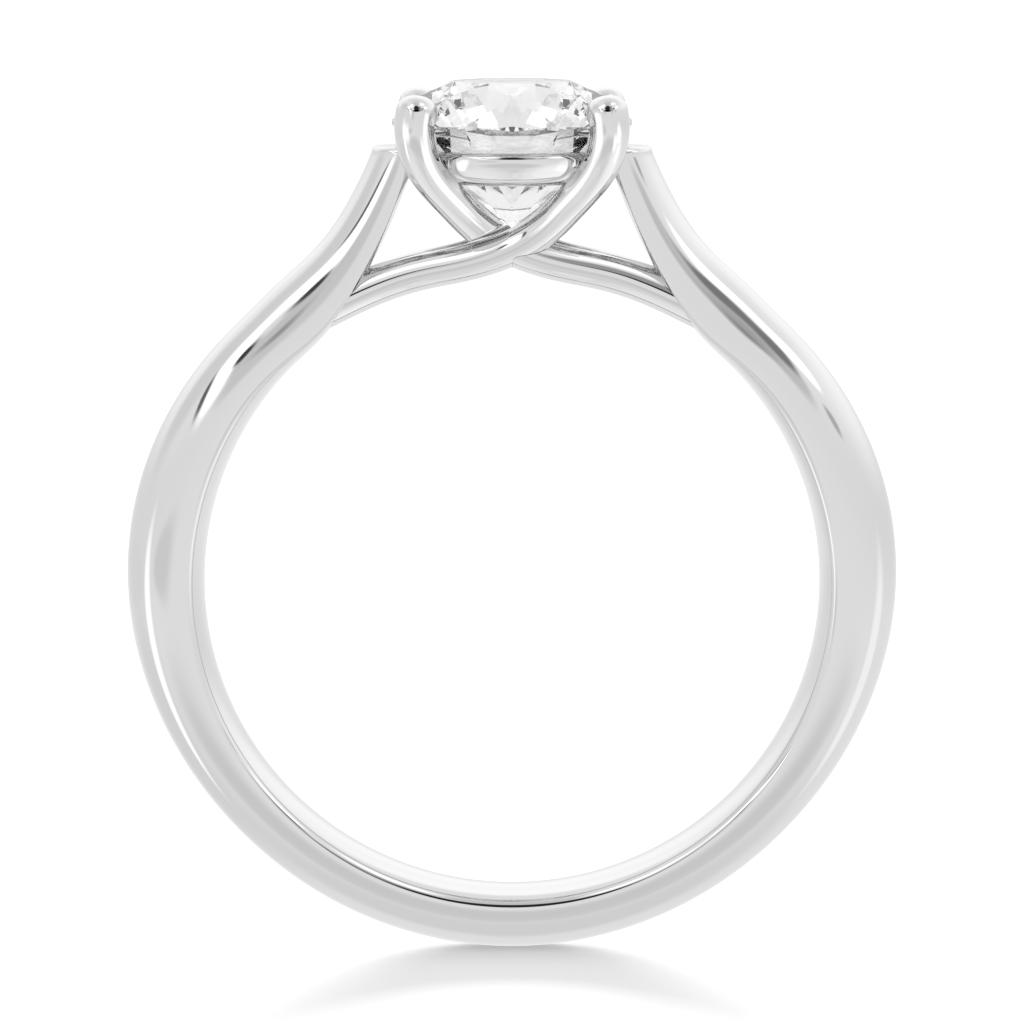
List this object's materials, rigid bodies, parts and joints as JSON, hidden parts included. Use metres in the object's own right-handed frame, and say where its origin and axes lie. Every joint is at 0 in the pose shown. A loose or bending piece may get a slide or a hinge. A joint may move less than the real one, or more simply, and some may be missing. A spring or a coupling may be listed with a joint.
{
  "type": "engagement ring",
  "caption": "Cathedral solitaire ring: comfort-fit band, crossover wire basket with claws and a collar holding a round brilliant stone.",
  "frame": {"origin": "centre of the finger hole, halfway along the band's width", "axes": "+Y along the finger, +Z from the palm side up to the stone's table, +X across the ring"},
  "size_m": [0.0206, 0.0064, 0.0233],
  "materials": {
    "white_gold": "mirror-polished white precious metal with fine hairline wear",
    "diamond": "polished colourless gemstone facets, frosted girdle"
  },
  "bodies": {
    "root": {"shank": "white_gold", "gallery_collar": "white_gold", "crossover_wire_front": "white_gold", "short_claw_front": "white_gold", "short_rail_front": "white_gold", "crossover_wire_back": "white_gold", "short_claw_back": "white_gold", "short_rail_back": "white_gold", "diamond": "diamond"}
  },
  "joints": []
}
